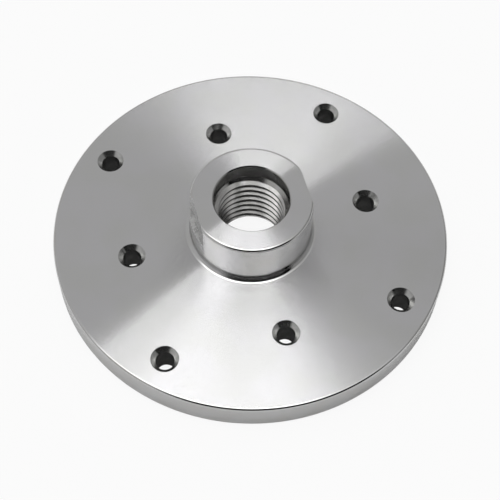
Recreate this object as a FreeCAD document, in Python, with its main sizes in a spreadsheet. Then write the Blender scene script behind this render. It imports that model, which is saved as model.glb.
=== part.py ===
"""Lathe faceplate: one turned steel piece with a screw-on spindle hub.

Millimetres. The origin is the centre of the work side. +Z runs along the
spindle axis towards the hub, and +X is square to the hub's wrench flats and
passes through two of the inner screw holes.
"""
import FreeCAD, Part
import os
import Sketcher

NODE = "faceplate"

# alias, value in millimetres or degrees, what it is
DIMENSIONS = (
    ("plate_dia", 160.0, "outside of the disc"),
    ("plate_thick", 13.0, "thickness of the disc"),
    ("work_edge", 0.5, "chamfer of the rim on the work side"),
    ("rim_round", 1.2, "rounding of the rim on the spindle side"),
    ("hub_dia", 49.0, "outside of the hub"),
    ("hub_height", 22.0, "height of the hub above the disc"),
    ("hub_chamfer", 1.2, "chamfer of the hub's top edge"),
    ("foot_round", 2.0, "fillet where the hub meets the disc"),
    ("flats_across", 45.0, "wrench size"),
    ("flats_length", 11.0, "length of the flats, from the hub's top"),
    ("thread_major", 30.0, "M30 x 3.5 spindle thread"),
    ("thread_pitch", 3.5, "its pitch"),
    ("thread_start", 2.6, "first groove on +X, below the work side"),
    ("register_dia", 30.2, "plain bore that sits on the spindle's register"),
    ("register_depth", 7.0, "its depth"),
    ("mouth_chamfer", 0.4, "broken edge at the mouth of the register"),
    ("exit_chamfer", 1.0, "broken edge where the thread leaves the work side"),
    ("outer_circle", 135.0, "pitch circle of the outer screw holes"),
    ("outer_angle", 45.0, "first outer hole, from +X"),
    ("inner_circle", 99.0, "pitch circle of the inner screw holes"),
    ("inner_angle", 0.0, "first inner hole, from +X"),
    ("screw_dia", 7.4, "clearance hole for a wood screw"),
    ("sink_dia", 11.0, "width of the countersink"),
    ("sink_angle", 90.0, "full angle of the countersink"),
    ("screw_count", 4, "screw holes on each circle"),
)

# formulas that several sketches share
RIM = "dims.plate_dia / 2"
HUB = "dims.hub_dia / 2"
TOP = "dims.plate_thick + dims.hub_height"
REGISTER = "dims.register_dia / 2"
SHOULDER = f"{TOP} - dims.register_depth"
# the ISO profile: 5/8 of the sharp triangle's height, on each side
CREST = "(dims.thread_major / 2 - 5 / 8 * dims.thread_pitch * cos(30 deg))"

# ways to name a sketch's own origin and axes, and a line's ends
ORIGIN, X_AXIS, Y_AXIS = -1, -1, -2
START, END = 1, 2


def fill_sheet(document):
    """Put the driving dimensions into a spreadsheet, one alias a row."""
    sheet = document.addObject("Spreadsheet::Sheet", "dims")
    for row, (alias, value, note) in enumerate(DIMENSIONS, start=1):
        sheet.set(f"A{row}", alias)
        sheet.set(f"B{row}", str(value))
        sheet.set(f"C{row}", note)
        sheet.setAlias(f"B{row}", alias)
    return sheet


def bind(feature, **formulas):
    """Drive the feature's properties from the sheet."""
    for name, formula in formulas.items():
        feature.setExpression(name, formula)


def new_sketch(body, name, plane, height=None):
    """Sketch on one of the body's origin planes, raised by a formula."""
    sketch = body.newObject("Sketcher::SketchObject", name)
    planes = {item.Role: item for item in body.Origin.OriginFeatures}
    sketch.AttachmentSupport = (planes[plane], [""])
    sketch.MapMode = "FlatFace"
    if height:
        sketch.setExpression("AttachmentOffset.Base.z", height)
    return sketch


def place_point(sketch, line, end, across, up):
    """Dimension one end of a line from the sketch's axes."""
    for kind, axis, formula in (("DistanceX", Y_AXIS, across), ("DistanceY", X_AXIS, up)):
        if formula == "0":
            sketch.addConstraint(Sketcher.Constraint("PointOnObject", line, end, axis))
        else:
            rule = Sketcher.Constraint(kind, ORIGIN, START, line, end, 1.0)
            number = sketch.addConstraint(rule)
            sketch.setExpression(f"Constraints[{number}]", formula)


def draw_outline(sketch, corners):
    """Closed outline whose corners are pairs of formulas."""
    first = sketch.GeometryCount
    count = len(corners)
    spots = [FreeCAD.Vector(1 + index, index * index, 0) for index in range(count)]
    for index in range(count):
        sketch.addGeometry(Part.LineSegment(spots[index], spots[(index + 1) % count]))
    for index in range(count):
        after = first + (index + 1) % count
        sketch.addConstraint(Sketcher.Constraint("Coincident", first + index, END, after, START))
    for index, (across, up) in enumerate(corners):
        place_point(sketch, first + index, START, across, up)


def ring_edge(feature, radius, height):
    """Name of the feature's round edge with this radius at this height."""
    for number, edge in enumerate(feature.Shape.Edges, start=1):
        curve = edge.Curve
        if not isinstance(curve, Part.Circle):
            continue
        if abs(curve.Radius - radius) < 0.01 and abs(curve.Center.z - height) < 0.01:
            return f"Edge{number}"
    raise ValueError(f"no round edge of radius {radius} at {height}")


def turn_blank(body):
    """Disc and hub in one revolved section."""
    section = new_sketch(body, "blank_section", "XZ_Plane")
    draw_outline(section, (
        ("0", "0"),
        (RIM, "0"),
        (RIM, "dims.plate_thick"),
        (HUB, "dims.plate_thick"),
        (HUB, TOP),
        ("0", TOP),
    ))
    blank = body.newObject("PartDesign::Revolution", "blank")
    blank.Profile = section
    blank.ReferenceAxis = (section, ["V_Axis"])
    blank.Angle = 360
    return blank


def break_edge(body, kind, name, radius, height, **formulas):
    """Fillet or chamfer on one round edge of the body's last feature."""
    base = body.Tip
    feature = body.newObject(f"PartDesign::{kind}", name)
    feature.Base = (base, [ring_edge(base, radius, height)])
    bind(feature, **formulas)
    body.Document.recompute()
    return feature


def break_edges(body, sheet):
    """The turned edges of the blank."""
    rim = sheet.plate_dia / 2
    hub = sheet.hub_dia / 2
    face = sheet.plate_thick
    top = face + sheet.hub_height
    break_edge(body, "Chamfer", "work_side_chamfer", rim, 0, Size="dims.work_edge")
    break_edge(body, "Fillet", "rim_rounding", rim, face, Radius="dims.rim_round")
    break_edge(body, "Fillet", "hub_foot", hub, face, Radius="dims.foot_round")
    break_edge(body, "Chamfer", "hub_top_chamfer", hub, top, Size="dims.hub_chamfer")


def turn_bore(body):
    """Register, 45 degree lead-in and the hole that the thread is cut in."""
    section = new_sketch(body, "bore_section", "XZ_Plane")
    draw_outline(section, (
        ("0", "0"),
        (f"{CREST} + dims.exit_chamfer", "0"),
        (CREST, "dims.exit_chamfer"),
        (CREST, f"{SHOULDER} - {REGISTER} + {CREST}"),
        (REGISTER, SHOULDER),
        (REGISTER, f"{TOP} - dims.mouth_chamfer"),
        (f"{REGISTER} + dims.mouth_chamfer", TOP),
        ("0", TOP),
    ))
    bore = body.newObject("PartDesign::Groove", "bore")
    bore.Profile = section
    bore.ReferenceAxis = (section, ["V_Axis"])
    bore.Angle = 360
    return bore


def mill_flats(body):
    """Two wrench flats, open to the hub's top."""
    outline = new_sketch(body, "flats_outline", "XY_Plane", TOP)
    near = "dims.flats_across / 2"
    far = "dims.hub_dia / 2 + 1"
    side = "dims.hub_dia / 2"
    for sign in ("", "-"):
        draw_outline(outline, (
            (f"{sign}({near})", f"-({side})"),
            (f"{sign}({far})", f"-({side})"),
            (f"{sign}({far})", side),
            (f"{sign}({near})", side),
        ))
    flats = body.newObject("PartDesign::Pocket", "wrench_flats")
    flats.Profile = outline
    bind(flats, Length="dims.flats_length")
    return flats


def drill_ring(body, name, circle, angle):
    """Countersunk screw holes, evenly spaced on a pitch circle."""
    centre = new_sketch(body, f"{name}_centre", "XY_Plane", "dims.plate_thick")
    spot = FreeCAD.Vector(10, 10, 0)
    centre.addGeometry(Part.Circle(spot, FreeCAD.Vector(0, 0, 1), 2))
    width = centre.addConstraint(Sketcher.Constraint("Diameter", 0, 4))
    centre.setExpression(f"Constraints[{width}]", "dims.screw_dia")
    across = f"{circle} / 2 * cos({angle} * 1 deg)"
    up = f"{circle} / 2 * sin({angle} * 1 deg)"
    for kind, formula in (("DistanceX", across), ("DistanceY", up)):
        number = centre.addConstraint(Sketcher.Constraint(kind, ORIGIN, START, 0, 3, 10))
        centre.setExpression(f"Constraints[{number}]", formula)
    body.Document.recompute()

    hole = body.newObject("PartDesign::Hole", f"{name}_hole")
    hole.Profile = centre
    body.Document.recompute()
    hole.ThreadType = "None"
    hole.DepthType = "ThroughAll"
    hole.HoleCutType = "Countersink"
    bind(
        hole,
        Diameter="dims.screw_dia",
        HoleCutDiameter="dims.sink_dia",
        HoleCutCountersinkAngle="dims.sink_angle",
    )
    body.Document.recompute()

    ring = body.newObject("PartDesign::PolarPattern", f"{name}_ring")
    ring.Originals = [hole]
    ring.Axis = (centre, ["N_Axis"])
    ring.Angle = 360
    bind(ring, Occurrences="dims.screw_count")
    body.Tip = ring
    body.Document.recompute()
    return ring


def cut_thread(body):
    """Right-hand ISO thread, from below the work side up into the register."""
    form = new_sketch(body, "thread_form", "XZ_Plane")
    root = "dims.thread_major / 2"
    # the cutter stands a little proud of the crest, so that it cuts cleanly
    inside = f"({CREST} - dims.thread_pitch / 16)"
    root_half = "dims.thread_pitch / 16"
    mouth_half = f"(dims.thread_pitch / 16 + ({root} - {inside}) * tan(30 deg))"
    middle = "-dims.thread_start"
    draw_outline(form, (
        (inside, f"{middle} - {mouth_half}"),
        (root, f"{middle} - {root_half}"),
        (root, f"{middle} + {root_half}"),
        (inside, f"{middle} + {mouth_half}"),
    ))
    thread = body.newObject("PartDesign::SubtractiveHelix", "spindle_thread")
    thread.Profile = form
    thread.ReferenceAxis = (form, ["V_Axis"])
    thread.Mode = "pitch-height-angle"
    thread.Angle = 0
    thread.LeftHanded = False
    bind(
        thread,
        Pitch="dims.thread_pitch",
        Height=f"{SHOULDER} + dims.thread_start + dims.thread_pitch",
    )
    return thread


def model(document):
    """The whole faceplate as one body."""
    sheet = fill_sheet(document)
    document.recompute()
    body = document.addObject("PartDesign::Body", NODE)
    body.Label = NODE
    turn_blank(body)
    document.recompute()
    break_edges(body, sheet)
    turn_bore(body)
    document.recompute()
    mill_flats(body)
    document.recompute()
    drill_ring(body, "outer_screw", "dims.outer_circle", "dims.outer_angle")
    drill_ring(body, "inner_screw", "dims.inner_circle", "dims.inner_angle")
    body.Tip = cut_thread(body)
    document.recompute()
    return body


def check(document, body):
    """Stop if anything failed to build."""
    for item in document.Objects:
        if "Invalid" in item.State or "Error" in item.State:
            raise RuntimeError(f"{item.Name}: {item.State}")
    shape = body.Shape
    if shape.isNull() or not shape.isValid() or len(shape.Solids) != 1:
        raise RuntimeError(f"{body.Label} isn't one valid solid")


def main():
    document = FreeCAD.newDocument("lathe_faceplate")
    body = model(document)
    check(document, body)
    os.makedirs("parts", exist_ok=True)
    body.Shape.exportStep(f"parts/{NODE}.step")
    box = body.Shape.optimalBoundingBox()
    print(f"{NODE}: {box.XLength:.2f} x {box.YLength:.2f} x {box.ZLength:.2f} mm,")
    print(f"{body.Shape.Volume / 1000:.1f} cm3, {len(body.Shape.Faces)} faces")


main()
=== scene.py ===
"""Lathe faceplate: its turned, bored, drilled and milled surfaces, with a floor, soft light and a camera.

Metres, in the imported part's own frame: the disc lies on its work side, and +Z is the spindle axis.
"""
import math
from collections import namedtuple
import bmesh
import bpy
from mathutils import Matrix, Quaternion, Vector


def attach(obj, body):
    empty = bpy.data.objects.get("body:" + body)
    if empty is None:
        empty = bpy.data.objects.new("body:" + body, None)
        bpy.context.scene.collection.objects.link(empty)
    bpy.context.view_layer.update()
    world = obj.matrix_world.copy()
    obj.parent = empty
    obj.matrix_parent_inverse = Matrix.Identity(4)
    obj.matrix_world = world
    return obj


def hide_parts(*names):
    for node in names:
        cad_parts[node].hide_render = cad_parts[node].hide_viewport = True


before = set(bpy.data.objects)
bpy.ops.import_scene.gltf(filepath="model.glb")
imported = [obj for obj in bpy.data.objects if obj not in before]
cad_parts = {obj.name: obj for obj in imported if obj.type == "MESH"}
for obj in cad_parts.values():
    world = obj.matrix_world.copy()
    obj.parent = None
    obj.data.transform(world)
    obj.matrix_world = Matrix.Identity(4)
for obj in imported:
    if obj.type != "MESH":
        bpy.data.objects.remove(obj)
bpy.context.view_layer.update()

# the part's own sizes
MM = 0.001
PLATE_R = 80.0 * MM
PLATE_T = 13.0 * MM
WORK_EDGE = 0.5 * MM
RIM_ROUND = 1.2 * MM
HUB_R = 24.5 * MM
HUB_TOP = 35.0 * MM
HUB_ROUND = 1.2 * MM
FOOT_ROUND = 2.0 * MM
REGISTER_R = 15.1 * MM
SHOULDER = 28.0 * MM
MOUTH_EDGE = 0.4 * MM
EXIT_EDGE = 1.0 * MM
ROOT_R = 15.0 * MM
PITCH = 3.5 * MM
CREST_R = ROOT_R - 5 / 8 * PITCH * math.cos(math.radians(30))
THREAD_START = -2.6 * MM
FLAT_X = 22.5 * MM
FLAT_FOOT = 24.0 * MM
SCREW_R = 3.7 * MM
SINK_R = 5.5 * MM
SCREW_CIRCLES = ((67.5 * MM, 45), (49.5 * MM, 0))
QUARTERS = (0, 90, 180, 270)
SPINDLE = Vector((0.0, 0.0, 1.0))

# how finely the round forms are drawn
TURNED_STEPS = 256
DRILLED_STEPS = 64
THREAD_STEPS = 96
THREAD_TURNS = 9.75
EDGE_PARTS = 8
FOOT_PARTS = 10
SHARP_EDGE = math.radians(28)

# the tool's feed on the faces, and a second, wider beat in it
FEED = 0.11 * MM
BEAT = 1.7
# a quarter turn lays the stretched glint along the tool marks
ALONG_MARKS = 0.25


# ---------------------------------------------------------------- shader sums

class Value:
    """A socket that takes part in sums: an expression on values adds its Math nodes."""

    def __init__(self, finish, socket):
        self.finish = finish
        self.socket = socket

    def math(self, operation, *others):
        return self.finish.node("Math", {"operation": operation}, self, *others)

    def __add__(self, other):
        return self.math("ADD", other)

    def __sub__(self, other):
        return self.math("SUBTRACT", other)

    def __mul__(self, other):
        return self.math("MULTIPLY", other)

    def __truediv__(self, other):
        return self.math("DIVIDE", other)

    def __rsub__(self, other):
        return self.finish.node("Math", {"operation": "SUBTRACT"}, other, self)

    __radd__ = __add__
    __rmul__ = __mul__

    def ramp(self, start, end):
        """Goes smoothly from 0 at start to 1 at end, whichever of the two is less."""
        settings = {"interpolation_type": "SMOOTHSTEP"}
        rising = start < end
        return self.finish.node(
            "MapRange", settings, self, min(start, end), max(start, end), float(not rising), float(rising),
        )


# where a shaded point is: the vector, its three parts and its distance from the spindle axis
Place = namedtuple("Place", "spot x y z radius")


class Finish:
    """A surface finish, and the nodes that make it."""

    def __init__(self, name, owner=None):
        self.owner = owner or bpy.data.materials.new(name)
        self.owner.use_nodes = True
        self.tree = self.owner.node_tree
        self.tree.nodes.clear()

    def node(self, kind, settings, *places, out=0, **named):
        """Adds a node: its settings first, then its sockets' values or links, by place or by name."""
        made = self.tree.nodes.new("ShaderNode" + kind)
        for key, value in settings.items():
            if key == "stops":
                for stop in value[2:]:
                    made.color_ramp.elements.new(stop[0])
                for element, (at, shade) in zip(made.color_ramp.elements, value):
                    element.position, element.color = at, (shade, shade, shade, 1.0)
            else:
                setattr(made, key, value)
        sockets = [s for s in made.inputs if s.enabled]
        wanted = list(zip(sockets, places))
        wanted += [(made.inputs[name.replace("_", " ")], value) for name, value in named.items()]
        for socket, value in wanted:
            if isinstance(value, Value):
                self.tree.links.new(value.socket, socket)
            else:
                socket.default_value = value
        outputs = [s for s in made.outputs if s.enabled]
        return Value(self, outputs[out]) if outputs else made

    def blend(self, share, first, second):
        """A colour between two others."""
        return self.node("Mix", {"data_type": "RGBA"}, share, first, second)

    def ray(self, name):
        """What kind of ray it is that meets the surface."""
        path = self.tree.nodes.new("ShaderNodeLightPath")
        return Value(self, path.outputs[name])

    def place(self):
        spot = self.node("TexCoord", {}, out=3)
        x, y, z = (self.node("SeparateXYZ", {}, spot, out=part) for part in range(3))
        level = self.node("CombineXYZ", {}, x, y, 0.0)
        return Place(spot, x, y, z, self.node("VectorMath", {"operation": "LENGTH"}, level))

    def noise(self, across, scale, detail=2.0):
        """Noise in space, or along a line where across is a number."""
        if across.socket.type == "VALUE":
            return self.node("TexNoise", {"noise_dimensions": "1D"}, W=across, Scale=scale, Detail=detail)
        return self.node("TexNoise", {}, across, Scale=scale, Detail=detail)

    def steel(self, tint, rough, marks, depth, along=0.0):
        """Bare steel with tool marks round the spindle axis, which stretch a glint by the share in along."""
        bump = self.node("Bump", {}, Strength=1.0, Distance=depth, Filter_Width=0.02, Height=marks)
        return self.node(
            "BsdfPrincipled", {}, Base_Color=tint, Metallic=1.0, Roughness=rough,
            Anisotropic=along, Anisotropic_Rotation=ALONG_MARKS, Normal=bump,
        )

    def done(self, surface):
        self.node("OutputMaterial", {}, surface)
        return self.owner


# ---------------------------------------------------------------- finishes

# how much of the floor's white comes from itself, so that the part's shadow still shows
FLOOR_GLOW = 0.9


def faced_steel():
    """The faces, turned with a fine feed from the rim inwards."""
    f = Finish("faced_steel")
    at = f.place()
    turns = at.radius * (math.tau / FEED)
    feed = turns.math("SINE") + (at.radius * (math.tau / FEED / BEAT)).math("SINE") * 0.8
    bands = f.noise(at.radius, 450.0)
    cloud = f.noise(at.spot, 60.0)
    tint = f.blend(cloud.ramp(0.35, 0.65), (0.625, 0.625, 0.62, 1.0), (0.64, 0.637, 0.645, 1.0))
    return f.done(f.steel(tint, 0.12 + (bands - 0.5) * 0.02, feed + bands * 0.4, FEED * 0.04, 1.0))


def turned_steel():
    """The walls and the rounded edges, turned and then polished with a cloth."""
    f = Finish("turned_steel")
    at = f.place()
    path = at.radius + at.z
    feed = f.noise(path, 6000.0)
    bands = f.noise(path, 500.0)
    cloud = f.noise(at.spot, 90.0, 4.0)
    tint = f.blend(cloud.ramp(0.35, 0.65), (0.60, 0.595, 0.585, 1.0), (0.63, 0.63, 0.63, 1.0))
    return f.done(f.steel(tint, 0.17 + (cloud - 0.5) * 0.10, feed * 0.5 + bands, 0.000004, 0.5))


def bored_steel():
    """The register and the thread."""
    f = Finish("bored_steel")
    at = f.place()
    chatter = f.noise(at.radius + at.z, 5000.0)
    cloud = f.noise(at.spot, 200.0, 4.0)
    tint = f.blend(cloud.ramp(0.35, 0.65), (0.55, 0.545, 0.53, 1.0), (0.62, 0.615, 0.61, 1.0))
    return f.done(f.steel(tint, 0.20 + (cloud - 0.5) * 0.12, chatter, 0.000003, 0.3))


def drilled_steel():
    """The screw holes and their countersinks."""
    f = Finish("drilled_steel")
    at = f.place()
    chatter = f.noise(at.z, 4000.0)
    cloud = f.noise(at.spot, 400.0, 4.0)
    tint = f.blend(cloud.ramp(0.35, 0.65), (0.50, 0.50, 0.49, 1.0), (0.60, 0.60, 0.59, 1.0))
    return f.done(f.steel(tint, 0.24 + (cloud - 0.5) * 0.12, chatter, 0.000004))


def milled_steel():
    """The wrench flats and the ledges below them."""
    f = Finish("milled_steel")
    at = f.place()
    feed = f.noise(at.y + at.z * 0.3, 2500.0)
    cloud = f.noise(at.spot, 500.0, 4.0)
    tint = f.blend(cloud.ramp(0.35, 0.65), (0.50, 0.50, 0.495, 1.0), (0.62, 0.62, 0.615, 1.0))
    return f.done(f.steel(tint, 0.28 + (cloud - 0.5) * 0.15, feed + cloud * 0.5, 0.00001))


def pale_floor():
    """A pale floor, near white to the lens and bright to the metal, with a painted shadow beneath the disc
    that only the metal sees.
    """
    f = Finish("pale_floor")
    radius = f.place().radius
    open_floor = radius.ramp(PLATE_R + 1 * MM, PLATE_R + 25 * MM)
    lens, glint, through = (f.ray(name) for name in ("Is Camera Ray", "Is Glossy Ray", "Is Transmission Ray"))
    # painted shadow: beneath the disc the floor's colour goes dark for glossy rays, so the metal reflects a
    # shade painted there
    painted_shade_beneath = glint * radius.ramp(PLATE_R, PLATE_R - 3 * MM)
    paper = f.node("BsdfDiffuse", {}, f.blend(painted_shade_beneath, (0.88, 0.88, 0.88, 1.0), (0.12, 0.12, 0.12, 1.0)))
    white = f.node("Emission", {}, (1.0, 1.0, 1.0, 1.0), 1.0)
    seen = (lens + through).math("MINIMUM", 1.0) * FLOOR_GLOW + glint * open_floor * 0.5
    return f.done(f.node("MixShader", {}, seen.math("MINIMUM", FLOOR_GLOW), paper, white))


# ---------------------------------------------------------------- the piece

def put(name, form, *finishes):
    """An object at the origin from a finished form."""
    mesh = bpy.data.meshes.new(name)
    form.to_mesh(mesh)
    form.free()
    for finish in finishes:
        mesh.materials.append(finish)
    piece = bpy.data.objects.new(name, mesh)
    bpy.context.collection.objects.link(piece)
    return piece


def section(form, corners, closed=True):
    """A section's edges, through corners of radius and height."""
    points = [form.verts.new((radius, 0.0, height)) for radius, height in corners]
    ends = points[1:] + points[:1] if closed else points[1:]
    return [form.edges.new(pair) for pair in zip(points, ends)]


def spin_round(form, steps):
    """Turns a section once round the spindle axis."""
    bmesh.ops.spin(
        form, geom=form.verts[:] + form.edges[:], cent=(0.0, 0.0, 0.0), axis=SPINDLE,
        angle=math.tau, steps=steps, use_merge=True,
    )
    bmesh.ops.remove_doubles(form, verts=form.verts[:], dist=1e-7)
    bmesh.ops.recalc_face_normals(form, faces=form.faces[:])


def round_ring(form, radius, height, size, parts):
    """Rounds the ring of edges at a radius and height."""
    def on_ring(vert):
        return abs(vert.co.xy.length - radius) < 1e-6 and abs(vert.co.z - height) < 1e-6
    ring = [edge for edge in form.edges if all(on_ring(vert) for vert in edge.verts)]
    bmesh.ops.bevel(
        form, geom=ring, offset=size, offset_type="OFFSET", segments=parts, profile=0.5,
        affect="EDGES", material=-1, clamp_overlap=False,
    )


def turned_blank(finishes):
    """Disc, hub and plain bore, with their rounded edges."""
    form = bmesh.new()
    section(form, (
        (CREST_R + EXIT_EDGE, 0.0),
        (CREST_R, EXIT_EDGE),
        (CREST_R, SHOULDER - REGISTER_R + CREST_R),
        (REGISTER_R, SHOULDER),
        (REGISTER_R, HUB_TOP - MOUTH_EDGE),
        (REGISTER_R + MOUTH_EDGE, HUB_TOP),
        (HUB_R, HUB_TOP),
        (HUB_R, PLATE_T),
        (PLATE_R, PLATE_T),
        (PLATE_R, WORK_EDGE),
        (PLATE_R - WORK_EDGE, 0.0),
    ))
    spin_round(form, TURNED_STEPS)
    round_ring(form, HUB_R, HUB_TOP, HUB_ROUND, EDGE_PARTS)
    round_ring(form, HUB_R, PLATE_T, FOOT_ROUND, FOOT_PARTS)
    round_ring(form, PLATE_R, PLATE_T, RIM_ROUND, EDGE_PARTS)
    faced, turned, bored = range(3)
    for face in form.faces:
        inside = face.calc_center_median().xy.length < REGISTER_R + MOUTH_EDGE
        level = abs(face.normal.z) > 0.9999
        face.material_index = faced if level else bored if inside else turned
    return put("faceplate_body", form, *finishes)


def screw_tool(circle, angle, finish):
    """Drill and countersink in one form."""
    form = bmesh.new()
    spare = 2 * MM
    section(form, (
        (0.0, -spare),
        (SCREW_R, -spare),
        (SCREW_R, PLATE_T - SINK_R + SCREW_R),
        (SINK_R + spare, PLATE_T + spare),
        (0.0, PLATE_T + spare),
    ), closed=False)
    spin_round(form, DRILLED_STEPS)
    turn = math.radians(angle)
    bmesh.ops.translate(form, verts=form.verts[:], vec=(circle * math.cos(turn), circle * math.sin(turn), 0.0))
    return put("screw_tool", form, finish)


def flat_tool(side, finish):
    """The block of metal that a wrench flat takes away."""
    form = bmesh.new()
    deep, tall = 6 * MM, HUB_TOP - FLAT_FOOT + 3 * MM
    bmesh.ops.create_cube(form, size=1.0)
    bmesh.ops.scale(form, verts=form.verts[:], vec=(deep, 3 * HUB_R, tall))
    middle = (side * (FLAT_X + deep / 2), 0.0, FLAT_FOOT + tall / 2)
    bmesh.ops.translate(form, verts=form.verts[:], vec=middle)
    return put("flat_tool", form, finish)


def thread_tool(finish):
    """The right-hand groove: the ISO form, turned and lifted by the pitch at each turn."""
    form = bmesh.new()
    inside = CREST_R - PITCH / 16
    root = PITCH / 16
    mouth = root + (ROOT_R - inside) * math.tan(math.radians(30))
    section(form, (
        (inside, THREAD_START - mouth),
        (ROOT_R, THREAD_START - root),
        (ROOT_R, THREAD_START + root),
        (inside, THREAD_START + mouth),
    ))
    bmesh.ops.spin(
        form, geom=form.verts[:] + form.edges[:], cent=(0.0, 0.0, 0.0), axis=SPINDLE,
        dvec=(0.0, 0.0, PITCH / THREAD_STEPS), angle=math.tau * THREAD_TURNS,
        steps=int(THREAD_STEPS * THREAD_TURNS), use_merge=False,
    )
    bmesh.ops.holes_fill(form, edges=[edge for edge in form.edges if edge.is_boundary], sides=4)
    bmesh.ops.recalc_face_normals(form, faces=form.faces[:])
    return put("thread_tool", form, finish)


def settle(piece):
    """Puts what the piece's modifiers make into its own mesh."""
    graph = bpy.context.evaluated_depsgraph_get()
    mesh = bpy.data.meshes.new_from_object(piece.evaluated_get(graph))
    piece.modifiers.clear()
    piece.data = mesh
    return mesh


def machined_faceplate():
    """The blank with its flats, screw holes and thread cut, as one closed mesh."""
    drilled, milled, bored = drilled_steel(), milled_steel(), bored_steel()
    blank = turned_blank((faced_steel(), turned_steel(), bored))
    tools = [flat_tool(side, milled) for side in (1, -1)]
    for circle, start in SCREW_CIRCLES:
        tools += [screw_tool(circle, start + step, drilled) for step in QUARTERS]
    tools += [thread_tool(bored)]
    for tool in tools:
        cut = blank.modifiers.new(tool.name, "BOOLEAN")
        cut.operation, cut.solver, cut.material_mode = "DIFFERENCE", "EXACT", "TRANSFER"
        cut.object = tool
    whole = settle(blank)
    for tool in tools:
        bpy.data.objects.remove(tool)
    whole.polygons.foreach_set("use_smooth", [True] * len(whole.polygons))
    whole.set_sharp_from_angle(angle=SHARP_EDGE)
    even = blank.modifiers.new("even_shading", "WEIGHTED_NORMAL")
    even.keep_sharp, even.weight = True, 100
    settle(blank)
    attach(blank, "root")
    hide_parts("faceplate")
    return blank


# ---------------------------------------------------------------- floor, light and camera

# the camera: how high it looks down from, how far off it is, how it leans, its lens in
# millimetres and the height on the spindle axis that it looks at
CAMERA_RISE = math.radians(58.72)
CAMERA_REACH = 0.4688
CAMERA_ROLL = math.radians(1.905)
CAMERA_LENS = 80.93
CAMERA_AIM = -4.5 * MM
SENSOR = 36.0
# the camera's side, seen from above, and its right-hand side
CAMERA_SIDE = math.radians(-107.68)
TOWARDS = Vector((math.cos(CAMERA_SIDE), math.sin(CAMERA_SIDE), 0.0))
RIGHT = Vector((-TOWARDS.y, TOWARDS.x, 0.0))

# the softbox: how far back it is centred, its strength, and half the angle that its shades span,
# which are listed by angle across it
LEAN = 0.519
SOFTBOX = 3.0
HALF_SPAN = 60.0
SOFTBOX_SHADES = (
    (-56, 0.0), (-51, 0.05), (-47.6, 0.20), (-46.8, 0.58), (-44, 0.54), (-39, 0.50), (-36, 0.58), (-32, 0.68),
    (-28, 0.76), (-20, 0.79), (-8, 0.76), (-2, 0.71), (8, 0.73), (11, 0.74), (12.2, 1.0), (13.4, 0.74),
    (16.6, 0.74), (18, 1.1), (19.4, 0.76), (21, 0.62), (24, 0.52), (28, 0.34), (33, 0.20), (38, 0.11),
    (46, 0.05), (54, 0.0),
)


def lay_floor():
    """A plain level floor that the part lies on."""
    form = bmesh.new()
    bmesh.ops.create_grid(form, x_segments=1, y_segments=1, size=3.0)
    floor = put("floor", form, pale_floor())


def light_room():
    """A grey room with a broad softbox overhead, dark on the side that the camera stands on."""
    world = bpy.data.worlds.new("studio")
    bpy.context.scene.world = world
    f = Finish("studio", world)
    way = f.node("TexCoord", {}, out=0)
    towards, right, up = (
        f.node("VectorMath", {"operation": "DOT_PRODUCT"}, way, axis) for axis in (TOWARDS, RIGHT, SPINDLE)
    )
    reach = towards + LEAN
    across = right.math("ARCTAN2", reach) * math.degrees(1)
    stops = [((angle + HALF_SPAN) / (2 * HALF_SPAN), shade) for angle, shade in SOFTBOX_SHADES]
    panel = f.node("ValToRGB", {"stops": stops}, (across + HALF_SPAN) / (2 * HALF_SPAN))
    far = (right * right + reach * reach).math("SQRT")
    panel = panel * far.ramp(0.10, 0.30) * far.ramp(0.95, 0.85) * up.ramp(0.3, 0.5)
    bearing = right.math("ARCTAN2", towards) * math.degrees(1)
    dark = bearing.ramp(-45, -28) * bearing.ramp(68, 60) * up.ramp(0.90, 0.87) * up.ramp(-0.1, 0.0)
    side = bearing.ramp(50, 70) * bearing.ramp(150, 120) * up.ramp(0.80, 0.70)
    room = 0.50 - dark * 0.48 - side * 0.2
    glow = room + panel * SOFTBOX
    plain = f.node("Background", {}, f.node("CombineColor", {}, glow, glow, glow), 1.0)
    paper = f.node("Background", {}, (1.0, 1.0, 1.0, 1.0), 1.0)
    f.node("OutputWorld", {}, f.node("MixShader", {}, f.ray("Is Camera Ray"), plain, paper))


def stand_camera():
    """A camera that looks down on the hub's side."""
    lens = bpy.data.cameras.new("camera")
    lens.sensor_width = SENSOR
    lens.lens = CAMERA_LENS
    lens.clip_start = 0.01
    camera = bpy.data.objects.new("camera", lens)
    camera.location = (TOWARDS * math.cos(CAMERA_RISE) + SPINDLE * math.sin(CAMERA_RISE)) * CAMERA_REACH
    aim = SPINDLE * CAMERA_AIM - camera.location
    roll = Quaternion((0.0, 0.0, 1.0), CAMERA_ROLL)
    camera.rotation_mode = "QUATERNION"
    camera.rotation_quaternion = aim.to_track_quat("-Z", "Y") @ roll
    bpy.context.collection.objects.link(camera)
    bpy.context.scene.camera = camera


machined_faceplate()
lay_floor()
light_room()
stand_camera()
bpy.context.scene.view_settings.view_transform = "Standard"
